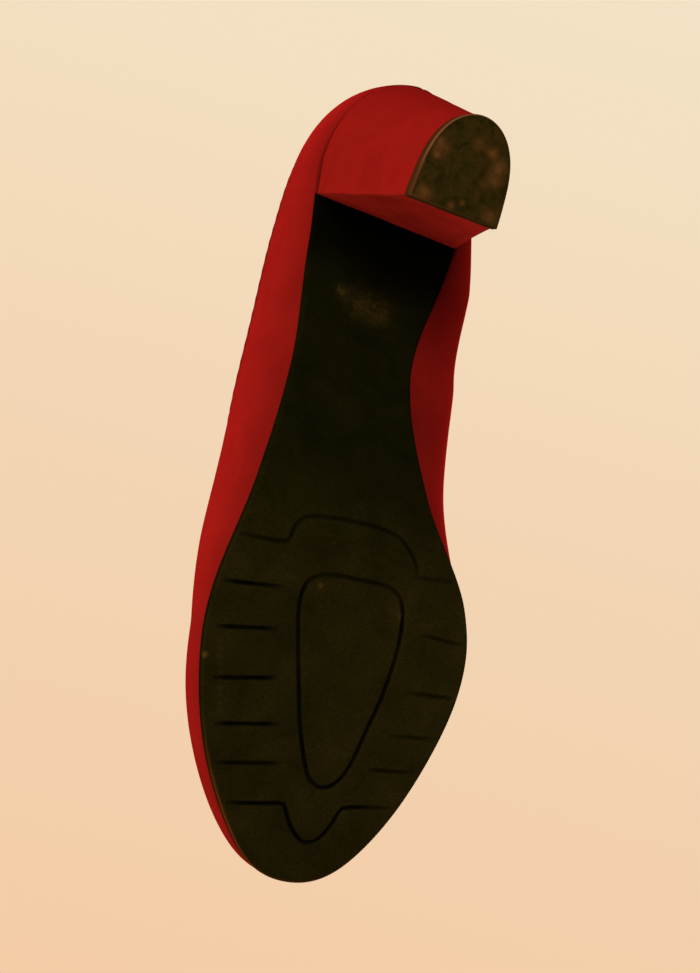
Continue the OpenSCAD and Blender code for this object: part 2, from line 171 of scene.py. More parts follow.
def outward(u):
    """Level direction out of the shoe's side at station u."""
    u = np.asarray(u, float)
    d = row(u + 0.02) - row(u - 0.02)
    return unit(np.stack([d[..., 1], -d[..., 0], 0 * d[..., 0]], -1))


def side(u, v):
    """Outer skin of the shoe's side, from the feather edge v = 0 to the topline v = 1."""
    u, v = np.broadcast_arrays(np.asarray(u, float), np.asarray(v, float))
    r, n = row(u), outward(u)
    v = v[..., None]
    w = 1 - v
    foot = np.stack([r[..., 0], r[..., 1], sole_top(r[..., 1])], -1)
    top = r[..., 2:5]
    low = foot + n * r[..., 5:6] + UP * r[..., 6:7]
    high = top + n * r[..., 7:8] - UP * r[..., 8:9]
    return w**3 * foot + 3 * w**2 * v * low + 3 * w * v**2 * high + v**3 * top


def side_normal(u, v):
    """Direction straight out of the skin."""
    du = side(u + 0.03, v) - side(u - 0.03, v)
    dv = side(u, v + 0.02) - side(u, v - 0.02)
    return unit(np.cross(du, dv))


def deep(u, v, d):
    """Point at depth d inside the outer skin."""
    u, v = np.broadcast_arrays(np.asarray(u, float), np.asarray(v, float))
    d = np.broadcast_to(d, u.shape)[..., None]
    return side(u, v) - d * side_normal(u, v)


def ease(x):
    """A soft step from 0 to 1 as x goes from 0 to 1."""
    t = np.clip(x, 0, 1)
    return t * t * (3 - 2 * t)


def round_toe(u):
    """Stations from the toe tip, negative on the arch side."""
    u = np.asarray(u, float) % K
    return np.where(u > K / 2, u - K, u)


def stiffener(u, v):
    """Room that the heel counter and the toe puff take between upper and lining."""
    h = np.abs(np.asarray(u, float) % K - K / 2)
    p = np.abs(round_toe(u))
    return (COUNTER_T * ease((3.3 - h) / 0.8) * ease((0.97 - v) / 0.17)
            + PUFF_T * ease((3.0 - p) / 0.7) * ease((0.72 - v) / 0.2))


def lining_depth(u, v):
    """Depth of the room for a lining, behind the upper and its stiffeners."""
    s = stiffener(u, v)
    return UPPER_T + GAP + np.where(s > 0.01, s + GAP, 0)


def wobble(points, size, seed):
    """Smooth noise from -1 to 1 at the points, with features about size millimetres across."""
    flat = points.reshape(-1, 3) / size + seed * 17.3
    return np.array([noise.noise(p) for p in flat.tolist()]).reshape(points.shape[:-1])


def smooth_path(points, shut=False, step=0.08):
    """The points of a given path joined by a smooth curve, closely spaced."""
    p = np.array(points, float)
    n = len(p)
    out = []
    for i in range(n if shut else n - 1):
        q = [p[(i + k) % n] if shut else p[min(max(i + k, 0), n - 1)] for k in (-1, 0, 1, 2)]
        count = max(2, int(np.linalg.norm(q[2] - q[1]) / step))
        out += [between(*q, t) for t in np.arange(count) / count]
    if not shut:
        out.append(p[-1])
    return np.array(out)


def nearest(cloud, queries):
    """Distance of each plan query to the closest point of the cloud, and which point that is."""
    tree = kdtree.KDTree(len(cloud))
    for i, p in enumerate(cloud.tolist()):
        tree.insert((p[0], p[1], 0), i)
    tree.balance()
    found = [tree.find((p[0], p[1], 0)) for p in queries.reshape(-1, queries.shape[-1])[:, :2].tolist()]
    distance, index = ([f[i] for f in found] for i in (2, 1))
    return np.reshape(distance, queries.shape[:-1]), np.reshape(index, queries.shape[:-1])


def at_height(plan, z):
    """Points in space from plan points and their heights."""
    return np.concatenate([plan, np.broadcast_to(z, plan.shape[:-1])[..., None]], axis=-1)


# ---------------------------------------------------------------- meshes
def loft(sections, ring=False, flat_ends=False):
    """Points and faces of a tube through closed sections. With ring the last section joins the first.
    Otherwise the ends are closed: with flat_ends by one polygon each, else by a strip of faces that pairs
    the section's first half with its second."""
    n, m = sections.shape[:2]
    i, k = np.meshgrid(np.arange(n if ring else n - 1), np.arange(m), indexing="ij")
    i2, k2 = (i + 1) % n, (k + 1) % m
    faces = np.stack([i * m + k, i * m + k2, i2 * m + k2, i2 * m + k], -1).reshape(-1, 4).tolist()
    ends = () if ring else (0, (n - 1) * m)
    for o in ends:
        if flat_ends:
            faces.append(list(range(o, o + m)))
        else:
            faces += [[o + a, o + a + 1, o + m - 2 - a, o + m - 1 - a] for a in range(m // 2 - 1)]
    return sections.reshape(-1, 3), faces


def piece(name, points, faces, look, node, sharp=42, weld=0.0):
    """An object from points in millimetres, which stands for a CAD node: the node is hidden and the object
    hangs on the root body.
    Edges over sharp degrees stay sharp; points closer than weld millimetres become one."""
    mesh = bpy.data.meshes.new(name)
    mesh.from_pydata(((np.asarray(points) + SHIFT) * MM).tolist(), [], faces)
    bm = bmesh.new()
    bm.from_mesh(mesh)
    if weld:
        bmesh.ops.remove_doubles(bm, verts=bm.verts, dist=weld * MM)
        bmesh.ops.dissolve_degenerate(bm, edges=bm.edges, dist=1e-8)
    bmesh.ops.recalc_face_normals(bm, faces=bm.faces)
    bm.to_mesh(mesh)
    bm.free()
    mesh.shade_smooth()
    mesh.set_sharp_from_angle(angle=math.radians(sharp))
    mesh.materials.append(look)
    obj = bpy.data.objects.new(name, mesh)
    bpy.context.scene.collection.objects.link(obj)
    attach(obj, "root")
    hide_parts(node)
    return obj


def lofted(name, parts, look, node, sharp, **how):
    """A piece lofted through sections, whose points are given in parts that follow on."""
    return piece(name, *loft(np.concatenate(parts, axis=1), **how), look, node, sharp)


def point_attributes(obj, **attributes):
    """Numbers on the points for the material to read. In a loft they may be given for the first points of
    every section; the others get 0."""
    for name, values in attributes.items():
        values = values.reshape(len(values), -1)
        full = np.zeros((len(values), len(obj.data.vertices) // len(values)), np.float32)
        full[:, :values.shape[1]] = values
        obj.data.attributes.new(name, "FLOAT", "POINT").data.foreach_set("value", full.ravel())


# ---------------------------------------------------------------- materials
class Wiring:
    """Short calls that add nodes to a tree and join them."""

    def __init__(self, tree, coordinates):
        self.tree = tree
        self.place = tree.nodes.new("ShaderNodeTexCoord").outputs[coordinates]

    def link(self, source, target):
        self.tree.links.new(source, target)

    def mapped(self, scale, turn=(0, 0, 0)):
        """The place stretched, and turned by angles in radians."""
        n = self.tree.nodes.new("ShaderNodeMapping")
        n.inputs["Scale"].default_value = scale
        n.inputs["Rotation"].default_value = turn
        self.link(self.place, n.inputs["Vector"])
        return n.outputs[0]

    def noise(self, scale, detail=3.0, rough=0.5, warp=0.0, vector=None):
        n = self.tree.nodes.new("ShaderNodeTexNoise")
        n.inputs["Scale"].default_value = scale
        n.inputs["Detail"].default_value = detail
        n.inputs["Roughness"].default_value = rough
        n.inputs["Distortion"].default_value = warp
        self.link(vector or self.place, n.inputs["Vector"])
        return n.outputs["Fac"]

    def cells(self, scale):
        n = self.tree.nodes.new("ShaderNodeTexVoronoi")
        n.inputs["Scale"].default_value = scale
        self.link(self.place, n.inputs["Vector"])
        return n.outputs["Distance"]

    def attribute(self, name):
        n = self.tree.nodes.new("ShaderNodeAttribute")
        n.attribute_name = name
        return n.outputs["Fac"]

    def ramp(self, source, *stops):
        """Colours at places from 0 to 1 of a value."""
        n = self.tree.nodes.new("ShaderNodeValToRGB")
        for i, (place, colour) in enumerate(stops):
            e = n.color_ramp.elements[i] if i < 2 else n.color_ramp.elements.new(place)
            e.position = place
            e.color = (*colour, 1)
        self.link(source, n.inputs[0])
        return n.outputs[0]

    def range(self, source, low, high, to_low=0.0, to_high=1.0):
        """The stretch of a value from low to high, moved to another one."""
        n = self.tree.nodes.new("ShaderNodeMapRange")
        for key, value in (("From Min", low), ("From Max", high), ("To Min", to_low), ("To Max", to_high)):
            n.inputs[key].default_value = value
        self.link(source, n.inputs["Value"])
        return n.outputs[0]

    def maths(self, operation, a, b):
        n = self.tree.nodes.new("ShaderNodeMath")
        n.operation = operation
        self.link(a, n.inputs[0])
        self.link(b, n.inputs[1])
        return n.outputs[0]

    def mix(self, share, a, b):
        """Colour a with a share of colour b over it."""
        n = self.tree.nodes.new("ShaderNodeMix")
        n.data_type = "RGBA"
        self.link(share, n.inputs[0])
        for socket, value in ((n.inputs[6], a), (n.inputs[7], b)):
            if isinstance(value, tuple):
                socket.default_value = (*value, 1)
            else:
                self.link(value, socket)
        return n.outputs[2]

    def mix_shaders(self, share, a, b):
        """Shader a with a share of shader b over it."""
        n = self.tree.nodes.new("ShaderNodeMixShader")
        for source, socket in zip((share, a, b), n.inputs):
            self.link(source, socket)
        return n.outputs[0]


class Look(Wiring):
    """A material with a Principled shader."""

    def __init__(self, name):
        self.material = bpy.data.materials.new(name)
        self.material.use_nodes = True
        super().__init__(self.material.node_tree, "Object")
        self.shader = self.tree.nodes["Principled BSDF"]

    def put(self, **values):
        """Sets sockets of the shader, an underscore standing for a space."""
        for key, value in values.items():
            self.shader.inputs[key.replace("_", " ")].default_value = value

    def colour(self, source):
        self.link(source, self.shader.inputs["Base Color"])

    def rough(self, source):
        self.link(source, self.shader.inputs["Roughness"])

    def bump(self, *layers):
        """Layers of (height, depth in millimetres), stacked."""
        last = None
        for height, depth in layers:
            n = self.tree.nodes.new("ShaderNodeBump")
            n.inputs["Strength"].default_value = 1.0
            n.inputs["Distance"].default_value = depth * MM
            self.link(height, n.inputs["Height"])
            if last:
                self.link(last, n.inputs["Normal"])
            last = n.outputs[0]
        self.link(last, self.shader.inputs["Normal"])


RED, RED_DARK, RED_RUB = (0.293, 0.0094, 0.0068), (0.228, 0.0076, 0.0056), (0.345, 0.0125, 0.0080)
# the colour that dirt and painted shade darken the suede towards
SOIL_AND_SHADE = (0.050, 0.0040, 0.0022)
RED_SHEEN = (1.0, 0.02, 0.02, 1)


def suede(name, light=RED, dark=RED_DARK, rub=RED_RUB, sheen=0.16):
    """Napped leather: soft mottling, brushed streaks, rubbed patches, seams and edges darkened with dirt and
    painted shade, and a fine velvety nap.
    """
    k = Look(name)
    k.put(Roughness=0.95, Specular_IOR_Level=0.0)
    k.put(Sheen_Weight=sheen, Sheen_Roughness=0.5, Sheen_Tint=RED_SHEEN)
    cloud = k.noise(70, 5, 0.6, 0.6)
    brush = k.noise(1, 3, 0.6, 0.2, k.mapped((420, 60, 140), (0, 0, 0.25)))
    fuzz = k.noise(800, 4, 0.7, 0.4)
    nap = k.noise(2600, 2, 0.6)
    base = k.mix(k.range(cloud, 0.30, 0.66), dark, light)
    base = k.mix(k.range(brush, 0.52, 0.75, 0, 0.35), base, rub)
    base = k.mix(k.range(fuzz, 0.36, 0.64, 0.35, 0.0), base, dark)
    base = k.mix(k.range(nap, 0.3, 0.7, 0.0, 0.35), base, dark)
    # dirt and painted shade in seams, creases and along edges, from the darkening attribute
    base = k.mix(k.attribute("soil"), base, SOIL_AND_SHADE)
    k.colour(base)
    pits = k.cells(1500)
    k.bump((cloud, 0.06), (brush, 0.04), (fuzz, 0.08), (nap, 0.07), (pits, 0.04))
    return k.material


def rubber_sole():
    """Moulded rubber: dusty brown where it treads, blacker at the waist, with painted shade in the grooves
    and a painted shadow of the heel in front of it, and scuffs.
    """
    k = Look("sole_rubber")
    k.put(Specular_IOR_Level=0.0)
    dust = k.noise(75, 6, 0.62, 0.5)
    speck = k.noise(900, 3, 0.6)
    grain = k.noise(3800, 2, 0.5)
    clean = k.ramp(dust, (0.30, (0.0047, 0.0046, 0.0008)), (0.72, (0.0088, 0.0082, 0.0014)))
    trodden = k.ramp(dust, (0.30, (0.0105, 0.0080, 0.0012)), (0.72, (0.0215, 0.0158, 0.0034)))
    sand, pits, scuffed = (0.040, 0.027, 0.009), (0.0035, 0.0034, 0.0006), (0.100, 0.055, 0.012)
    rubbed, black = (0.120, 0.032, 0.006), (0.0012, 0.0014, 0.0003)
    base = k.mix(k.attribute("tread"), clean, trodden)
    base = k.mix(k.range(speck, 0.62, 0.8, 0, 0.2), base, sand)
    base = k.mix(k.range(k.noise(1700, 2, 0.6), 0.38, 0.62, 0.4, 0), base, pits)
    dusting = k.range(k.noise(330, 5, 0.6), 0.40, 0.62, 0.35, 1.0)
    broken = k.maths("MULTIPLY", dusting, k.range(speck, 0.35, 0.65, 0.4))
    base = k.mix(k.maths("MULTIPLY", k.attribute("scuff"), broken), base, scuffed)
    base = k.mix(k.attribute("rim"), base, rubbed)
    # painted shade: black in the grooves and in the heel's shadow in front of the breast
    k.colour(k.mix(k.attribute("black"), base, black))
    k.rough(k.range(dust, 0.3, 0.7, 0.62, 0.82))
    k.bump((dust, 0.05), (speck, 0.03), (grain, 0.03))
    return k.material


def rubber_lift():
    """Hard top-lift rubber: mottled dusty face, brown worn patches, tan rubbed wall and a pale rim."""
    k = Look("top_lift_rubber")
    k.put(Specular_IOR_Level=0.0)
    patch = k.noise(260, 5, 0.66, 0.6)
    speck = k.noise(800, 4, 0.7, 0.3)
    base = k.ramp(patch, (0.36, (0.0115, 0.0098, 0.0014)), (0.66, (0.0310, 0.0190, 0.0036)))
    sand, brown = (0.050, 0.025, 0.006), (0.112, 0.044, 0.011)
    pale, dark = (0.165, 0.068, 0.026), (0.0060, 0.0048, 0.0008)
    tan = k.mix(patch, (0.095, 0.030, 0.011), (0.055, 0.018, 0.006))
    base = k.mix(k.range(speck, 0.56, 0.74, 0, 0.5), base, sand)
    broken = k.range(k.noise(420, 5, 0.7, 0.4), 0.32, 0.56, 0.4, 1.0)
    base = k.mix(k.maths("MULTIPLY", k.attribute("worn"), broken), base, brown)
    base = k.mix(k.attribute("wall"), base, tan)
    base = k.mix(k.attribute("rim"), base, pale)
    k.colour(k.mix(k.attribute("shade"), base, dark))
    k.rough(k.range(patch, 0.3, 0.7, 0.65, 0.85))
    k.bump((patch, 0.10), (speck, 0.08), (k.noise(3000, 2), 0.04))
    return k.material


def lining_leather(name, light, dark, worn=0.35):
    """Smooth lining leather with fine pores, creases and a soiled cast."""
    k = Look(name)
    k.put(Specular_IOR_Level=0.35, Sheen_Weight=0.08)
    soil = k.noise(38, 4, 0.55, 0.5)
    pores = k.cells(1400)
    hair = k.noise(1, 3, 0.6, 0.3, k.mapped((260, 40, 120)))
    base = k.mix(k.range(soil, 0.3, 0.7, 0, worn), light, dark)
    base = k.mix(k.range(hair, 0.55, 0.8, 0, 0.25), base, dark)
    base = k.mix(k.range(pores, 0.0, 0.25, 0.35, 0.0), base, dark)
    k.colour(base)
    k.rough(k.range(soil, 0.3, 0.7, 0.5, 0.68))
    k.bump((soil, 0.15), (pores, 0.05), (k.noise(2200, 2), 0.03))
    return k.material


def thread(name, light, dark):
    """Twisted sewing thread."""
    k = Look(name)
    k.put(Roughness=0.85, Specular_IOR_Level=0.02, Sheen_Weight=0.04, Sheen_Tint=(1.0, 0.06, 0.04, 1))
    twist = k.noise(1, 2, 0.5, 0.4, k.mapped((5200, 2600, 2600), (0, 0, 0.6)))
    k.colour(k.mix(k.range(twist, 0.35, 0.65), dark, light))
    k.bump((twist, 0.08))
    return k.material


def metal(name, light, dark, rough):
    """Drawn or stamped metal with faint brushing and dull patches."""
    k = Look(name)
    k.put(Metallic=1.0)
    dull = k.noise(140, 4, 0.6)
    brush = k.noise(1, 3, 0.6, 0, k.mapped((3200, 160, 900)))
    k.colour(k.mix(k.range(dull, 0.35, 0.7), light, dark))
    k.rough(k.range(brush, 0.3, 0.7, rough - 0.08, rough + 0.14))
    k.bump((brush, 0.01))
    return k.material


def fibre(name, light, dark, fleck, scale=900, rough=0.9, grain=0.12):
    """Pressed fibres, cloth or cork: flecks over a mottled ground."""
    k = Look(name)
    k.put(Roughness=rough, Specular_IOR_Level=0.15)
    ground = k.noise(120, 5, 0.6)
    flecks = k.noise(scale, 3, 0.65, 0.6)
    grains = k.cells(scale * 0.7)
    base = k.mix(k.range(ground, 0.3, 0.7), dark, light)
    base = k.mix(k.range(flecks, 0.55, 0.72, 0, 0.6), base, fleck)
    k.colour(base)
    k.bump((flecks, grain), (grains, grain * 0.6))
    return k.material


def moulded(name, light, dark):
    """Hard plastic from a mould: faint flow mottling and a fine matt texture."""
    k = Look(name)
    k.put(Specular_IOR_Level=0.45)
    flow = k.noise(60, 4, 0.5, 1.2)
    k.colour(k.mix(k.range(flow, 0.35, 0.7), light, dark))
    k.rough(k.range(flow, 0.3, 0.7, 0.38, 0.5))
    k.bump((k.noise(2400, 2), 0.02))
    return k.material


# ---------------------------------------------------------------- upper
def upper():
    """The napped leather upper: outer skin with its small undulations, inner skin and lasting margin."""
    us = np.arange(560) * K / 560
    u, v = np.meshgrid(us, np.linspace(0, SKIN_TOP, 96), indexing="ij")
    skin, n = side(u, v), side_normal(u, v)
    swell = 0.08 * wobble(skin, 16, 1) + 0.03 * wobble(skin, 6, 2)
    # flex creases where the vamp bends, on both sides of the throat
    from_toe = np.abs(round_toe(u))
    bend = np.exp(-((from_toe - 3.9) / 0.75) ** 2) * np.sin(math.pi * np.clip((v - 0.1) / 0.8, 0, 1))
    crease = np.sin(2 * math.pi * (from_toe * 1.9 + 0.9 * v + 0.7 * wobble(skin, 17, 3)))
    swell += 0.06 * bend * crease * ease(0.5 + 1.6 * wobble(skin, 21, 4))
    # edge of the stiffeners telegraphing through, the stitch line pressed in, the feather edge rolled under
    swell += 0.12 * stiffener(u, v)
    swell -= 0.16 * np.exp(-((v - STITCH_LINE) / 0.008) ** 2)
    swell -= 0.55 * np.clip(1 - v / 0.035, 0, 1) ** 2
    # the seam up the back
    seam = np.exp(-((u - K / 2) / 0.035) ** 2)
    swell -= 0.22 * seam
    outer = skin + n * swell[..., None]
    inner = deep(*np.meshgrid(us, np.linspace(SKIN_TOP, 0.075, 24), indexing="ij"), UPPER_T)
    # the margin turned in under the board, from its bend to its cut edge
    rim, out = row(us)[:, :2], outward(us)[:, :2]
    bent, edge = rim - out * 1.7, rim - out * MARGIN_W
    corners = (bent, UPPER_T), (edge, UPPER_T), (edge, 0)
    margin = np.stack([at_height(p, sole_top(p[:, 1]) + above) for p, above in corners], axis=1)
    obj = lofted("upper_suede", [outer, inner, margin], suede("suede", sheen=0.34), "upper", 50, ring=True)
    # dirt and painted shade along the feather edge, deepest where the upper meets the heel's cover, and down
    # the sunken back seam
    seat = ease((3.4 - np.abs(u - K / 2)) / 0.5)
    soil = np.clip(0.35 + 0.5 * seat, 0, 1) * np.exp(-(v / (0.018 + 0.030 * seat)) ** 2)
    soil = np.maximum(soil, 0.45 * seam)
    # a brown cast over the lower part of the sides, in clouds, darkest at the waist
    waist = np.exp(-(from_toe - 5.8) ** 2)
    cast = (0.42 + 0.12 * waist) * np.exp(-(v / (0.16 + 0.28 * waist)) ** 2) * ease((from_toe - 0.8) / 1.6)
    point_attributes(obj, soil=np.maximum(soil, cast * (0.85 + 0.4 * wobble(skin, 19, 6))))


def binding():
    """Folded strip that binds the topline, as a rolled bead over the edge."""
    inner = UPPER_T + LINING_T + 0.1
    # section as (height up the side, depth), round the bead and back along the leather inside the fold
    path = [[0.964, -0.04], [0.972, -0.30], [0.986, -0.36], [0.999, -0.18], [1.0065, 0.35], [1.0085, 1.05],
            [1.0065, inner - 0.35], [0.999, inner + 0.15], [0.986, inner + 0.30], [0.972, inner + 0.24],
            [0.964, inner + 0.02]]
    bead = smooth_path(path, step=0.16)
    back = np.array([[0.975, inner - 0.02], [0.988, inner - 0.02], [0.988, 0.02], [0.975, 0.0]])
    section = np.concatenate([bead, back])
    us = np.arange(520) * K / 520
    u, v = np.meshgrid(us, section[:, 0], indexing="ij")
    d = np.broadcast_to(section[:, 1], u.shape)
    pucker = 0.05 * np.sin(2 * math.pi * u * 6) * (d < 1)
    look = suede("binding_suede", (0.26, 0.0090, 0.0060), (0.18, 0.0065, 0.0045), RED)
    lofted("topline_binding_leather", [deep(u, v, d - pucker)], look, "topline_binding", 42, ring=True)


def stitches(name, places, look, node):
    """A row of thread stitches, each a small arched capsule whose ends dip into the leather. A place is the
    stitch's middle, u and v, and half its length, du and dv."""
    rings, sides = 9, 8
    t = np.linspace(-1, 1, rings)
    angle = np.arange(sides) * 2 * math.pi / sides
    points, faces = [], []
    for u, v, du, dv in places:
        line = side(u + du * t, v + dv * t)
        n = side_normal(u + du * t, v + dv * t)
        across = unit(np.cross(n, np.gradient(line, axis=0)))
        lift = 0.02 - 0.40 * t**4
        girth = 0.20 * np.sqrt(np.clip(1 - t**6, 0.04, 1))
        centre = line + n * lift[:, None]
        ring = (centre[:, None] + across[:, None] * (girth[:, None] * np.cos(angle))[..., None]
                + n[:, None] * (girth[:, None] * np.sin(angle))[..., None])
        p, f = loft(ring)
        start = len(points) * rings * sides
        points.append(p)
        faces += [[i + start for i in face] for face in f]
    piece(name, np.concatenate(points), faces, look, node)


def sewing():
    """The stitches round the topline, and the two rows beside the seam up the back."""
    look = thread("red_thread", (0.33, 0.0115, 0.0075), (0.22, 0.0075, 0.005))
    count = 120
    round_topline = [((i + 0.5) * K / count, STITCH_LINE, 0.058, 0.0) for i in range(count)]
    stitches("topline_thread", round_topline, look, "topline_stitching")
    beside_seam = [(K / 2 + s, 0.14 + 0.06 * i, 0.0, 0.022) for s in (-0.06, 0.06) for i in range(13)]
    stitches("back_seam_thread", beside_seam, look, "back_seam_stitching")


def quarter_lining_depth(u, v):
    """Depth of the quarter's lining."""
    return lining_depth(u, v) + GAP


def vamp_lining_depth(u, v):
    """Depth of the vamp's lining, which laps over the quarter's at the side seams, below the binding."""
    lap = ease((np.abs(round_toe(u)) - 4.36) / 0.1) * ease((0.955 - v) / 0.02)
    return lining_depth(u, v) + GAP + 0.3 * lap


def grip_depth(u, v):
    """Depth of the heel grip, which lies on the quarter's lining."""
    return quarter_lining_depth(u, v) + LINING_T + GAP


def lining(name, us, vs, depth, thick, look, node):
    """A wall inside the shoe, between a depth and that depth with the thickness added."""
    u, v = np.meshgrid(us, vs, indexing="ij")
    d = depth(u, v)
    lofted(name, [deep(u, v, d), deep(u, v, d + thick)[:, ::-1]], look, node, 55)


def linings():
    """The linings of vamp and quarter, and the heel grip over the latter."""
    calf = lining_leather("lining_calf", (0.60, 0.43, 0.26), (0.36, 0.23, 0.125))
    nubuck = lining_leather("grip_nubuck", (0.50, 0.34, 0.20), (0.30, 0.19, 0.105), 0.5)
    vamp, quarter = np.linspace(*VAMP_ENDS, 182), np.linspace(*QUARTER_ENDS, 212)
    grip, grip_vs = np.linspace(*GRIP_ENDS, 90), np.linspace(0.3, 0.95, 40)
    vs = np.linspace(LINING_FOOT, SKIN_TOP, 44)
    lining("vamp_lining_leather", vamp, vs, vamp_lining_depth, LINING_T, calf, "vamp_lining")
    lining("quarter_lining_leather", quarter, vs, quarter_lining_depth, LINING_T, calf, "quarter_lining")
    lining("heel_grip_leather", grip, grip_vs, grip_depth, GRIP_T, nubuck, "heel_grip")


# ---------------------------------------------------------------- bottom
def rim_point(u, out):
    """Plan point on the feather edge at station u, moved outwards."""
    return row(u)[..., :2] + outward(u)[..., :2] * out


def plan_grid(lateral, medial, c):
    """Rows of plan points from the arch-side ends (c = 0) to the outer ones (c = 1)."""
    return medial[:, None] + (lateral - medial)[:, None] * c[None, :, None]


def along_edge(fine, coarse, y_fine):
    """Stations from toe to breast, spaced by the length of the rim: fine as far as y_fine, then coarse."""
    s = np.linspace(0.012, 7.15, 6000)
    p = row(s)[:, :2]
    length = np.r_[0, np.cumsum(np.linalg.norm(np.diff(p, axis=0), axis=1))]
    turn = np.interp(y_fine, p[:, 1], length)
    marks = np.r_[np.arange(0, turn, fine), np.arange(turn, length[-1], coarse), length[-1]]
    return np.interp(marks, length, s)


def groove_field(grid):
    """How deep into a groove each plan point is: 0 on the flat, 1 on a groove's floor."""
    lines = [(smooth_path(PICK, True), False), (smooth_path(REAR_LINE), True), (smooth_path(TOE_LINE), True)]
    lines += [(smooth_path(p), True) for p in SIPES]
    depth = np.zeros(grid.shape[:-1])
    for line, fades in lines:
        low, high = line.min(0) - 2, line.max(0) + 2
        close = np.all((grid > low) & (grid < high), axis=-1)
        if not close.any():
            continue
        dist, index = nearest(line, grid[close])
        shape = ease((GROOVE_HALF + GROOVE_WALL / 2 - dist) / GROOVE_WALL)
        # open grooves run out shallow at their ends
        if fades:
            step = np.linalg.norm(line[1] - line[0])
            from_end = np.minimum(index, len(line) - 1 - index) * step
            shape = shape * (0.35 + 0.65 * ease(from_end / 2.2))
        depth[close] = np.maximum(depth[close], shape)
    # trodden shallower at the joints of the foot and along the arch side, and a little uneven everywhere
    x, y = grid[..., 0], grid[..., 1]
    worn = (1 - 0.30 * ease((y + 38) / 4)) * (1 - 0.3 * ease((-20 - x) / 3))
    return depth * worn * (0.86 + 0.28 * wobble(at_height(grid, 0), 9, 31))


def blots(plan, spots):
    """Sum of round soft spots at plan points, each given by its place, reach and strength."""
    total = 0
    for place, reach, strength in spots:
        total = total + strength * np.exp(-(((plan - np.array(place)) / reach) ** 2).sum(-1))
    return total


def outsole():
    """Moulded outsole: a fine grid in rows across the shoe, with tread, rounded rim and wall."""
    s = along_edge(0.3, 0.7, -8)
    lateral = rim_point(np.r_[s, BREAST_ENDS[0]], SOLE_OUT)
    medial = rim_point(np.r_[K - s, BREAST_ENDS[1]], SOLE_OUT)
    c = np.r_[np.linspace(0, 0.03, 8)[:-1], np.linspace(0.03, 0.97, 236), np.linspace(0.97, 1, 8)[1:]]
    plan = plan_grid(lateral, medial, c)
    rim = np.concatenate([smooth_path(medial[::-1], step=0.3), smooth_path(lateral, step=0.3)])
    dist, _ = nearest(rim, plan)
    y = plan[..., 1]
    radius = np.interp(y, [-20, 25, 60], [0.7, 1.5, 1.2])
    rise = radius - np.sqrt(np.clip(radius**2 - np.clip(radius - dist, 0, None) ** 2, 0, None))
    field = groove_field(plan) * ease((dist - 0.4) / 1.2)
    sag = 0.05 + 0.05 * wobble(at_height(plan, 0), 22, 5)
    bottom = at_height(plan, under(y) + rise + GROOVE_D * field + sag)
    lid = plan_grid(lateral, medial, np.linspace(1, 0, 14))
    top = at_height(lid, sole_top(lid[..., 1]) - 0.02)
    outer_wall = 0.5 * (bottom[:, -1:] + top[:, :1])
    arch_wall = 0.5 * (bottom[:, :1] + top[:, -1:])
    parts = [bottom, outer_wall, top, arch_wall]
    obj = lofted("outsole_rubber", parts, rubber_sole(), "outsole", 85, flat_ends=True)
    # pale places: three at the waist, the pick's back corners, the outer edge, and a streak along that edge
    spots = [((10.1, 44.9), 1.6, 0.5), ((4.6, 42.4), 4.0, 0.25), ((-1.0, 41.8), 3.6, 0.36),
             ((8.6, -35.7), 0.7, 0.8), ((-15.6, -38.6), 0.8, 0.7), ((34.6, -60.4), 0.7, 0.9)]
    spots += [((31.6 - 0.27 * step, -56 - step), 0.7, 0.17) for step in range(0, 20, 2)]
    scuff = np.clip(blots(plan, spots), 0, 1)
    tread = ease((6 - y) / 45) * (0.75 + 0.25 * ease((10 - plan[..., 0]) / 30))
    # the grooves are painted black as shade, and the corner in front of the heel painted black as the heel's
    # shadow; the rim of the toe is rubbed brown
    black = np.maximum(field, 0.85 * ease((y - 44) / 16))
    rubbed = 0.75 * np.exp(-(dist / 0.4) ** 2) * ease((-72 - y) / 35)
    point_attributes(obj, black=black, scuff=scuff, tread=tread, rim=rubbed)


def at_lining(u, height):
    """Plan points just inside the lining's face at a height above the sole, one for each station."""
    u, v = np.meshgrid(u, np.linspace(LINING_FOOT, 0.4, 160), indexing="ij")
    face = deep(u, v, quarter_lining_depth(u, v) + LINING_T - 0.15)
    first = np.argmax(face[..., 2] - sole_top(face[..., 1]) > height, axis=1)
    return face[np.arange(len(u)), first, :2]


def sock():
    """Sock lining on the insole board, lightly dished, with the wearer's marks pressed in."""
    s = np.r_[0.06, 0.13, np.linspace(0.2, 9.5, 150), 9.6, 9.7, 9.78, 9.85, 9.9, 9.94]
    c = np.linspace(0, 1, 60)
    plan = plan_grid(at_lining(s, BOARD_TOP + SOCK_T), at_lining(K - s, BOARD_TOP + SOCK_T), c)
    y = plan[..., 1]
    edge = np.minimum(c, 1 - c)
    ball = np.exp(-((y + 48) / 22) ** 2) * ease(edge / 0.25)
    press = 0.14 * wobble(at_height(plan, 0), 18, 7) - 0.18 * ball
    round_off = 0.25 * (1 - ease(edge / 0.02))
    low = at_height(plan, sole_top(y) + BOARD_TOP + 0.03)
    high = at_height(plan, sole_top(y) + BOARD_TOP + SOCK_T + press - round_off)
    look = lining_leather("sock_leather", (0.56, 0.40, 0.24), (0.30, 0.19, 0.10), 0.6)
    lofted("sock_lining_leather", [low[:, ::-1], high], look, "sock_lining", 55)


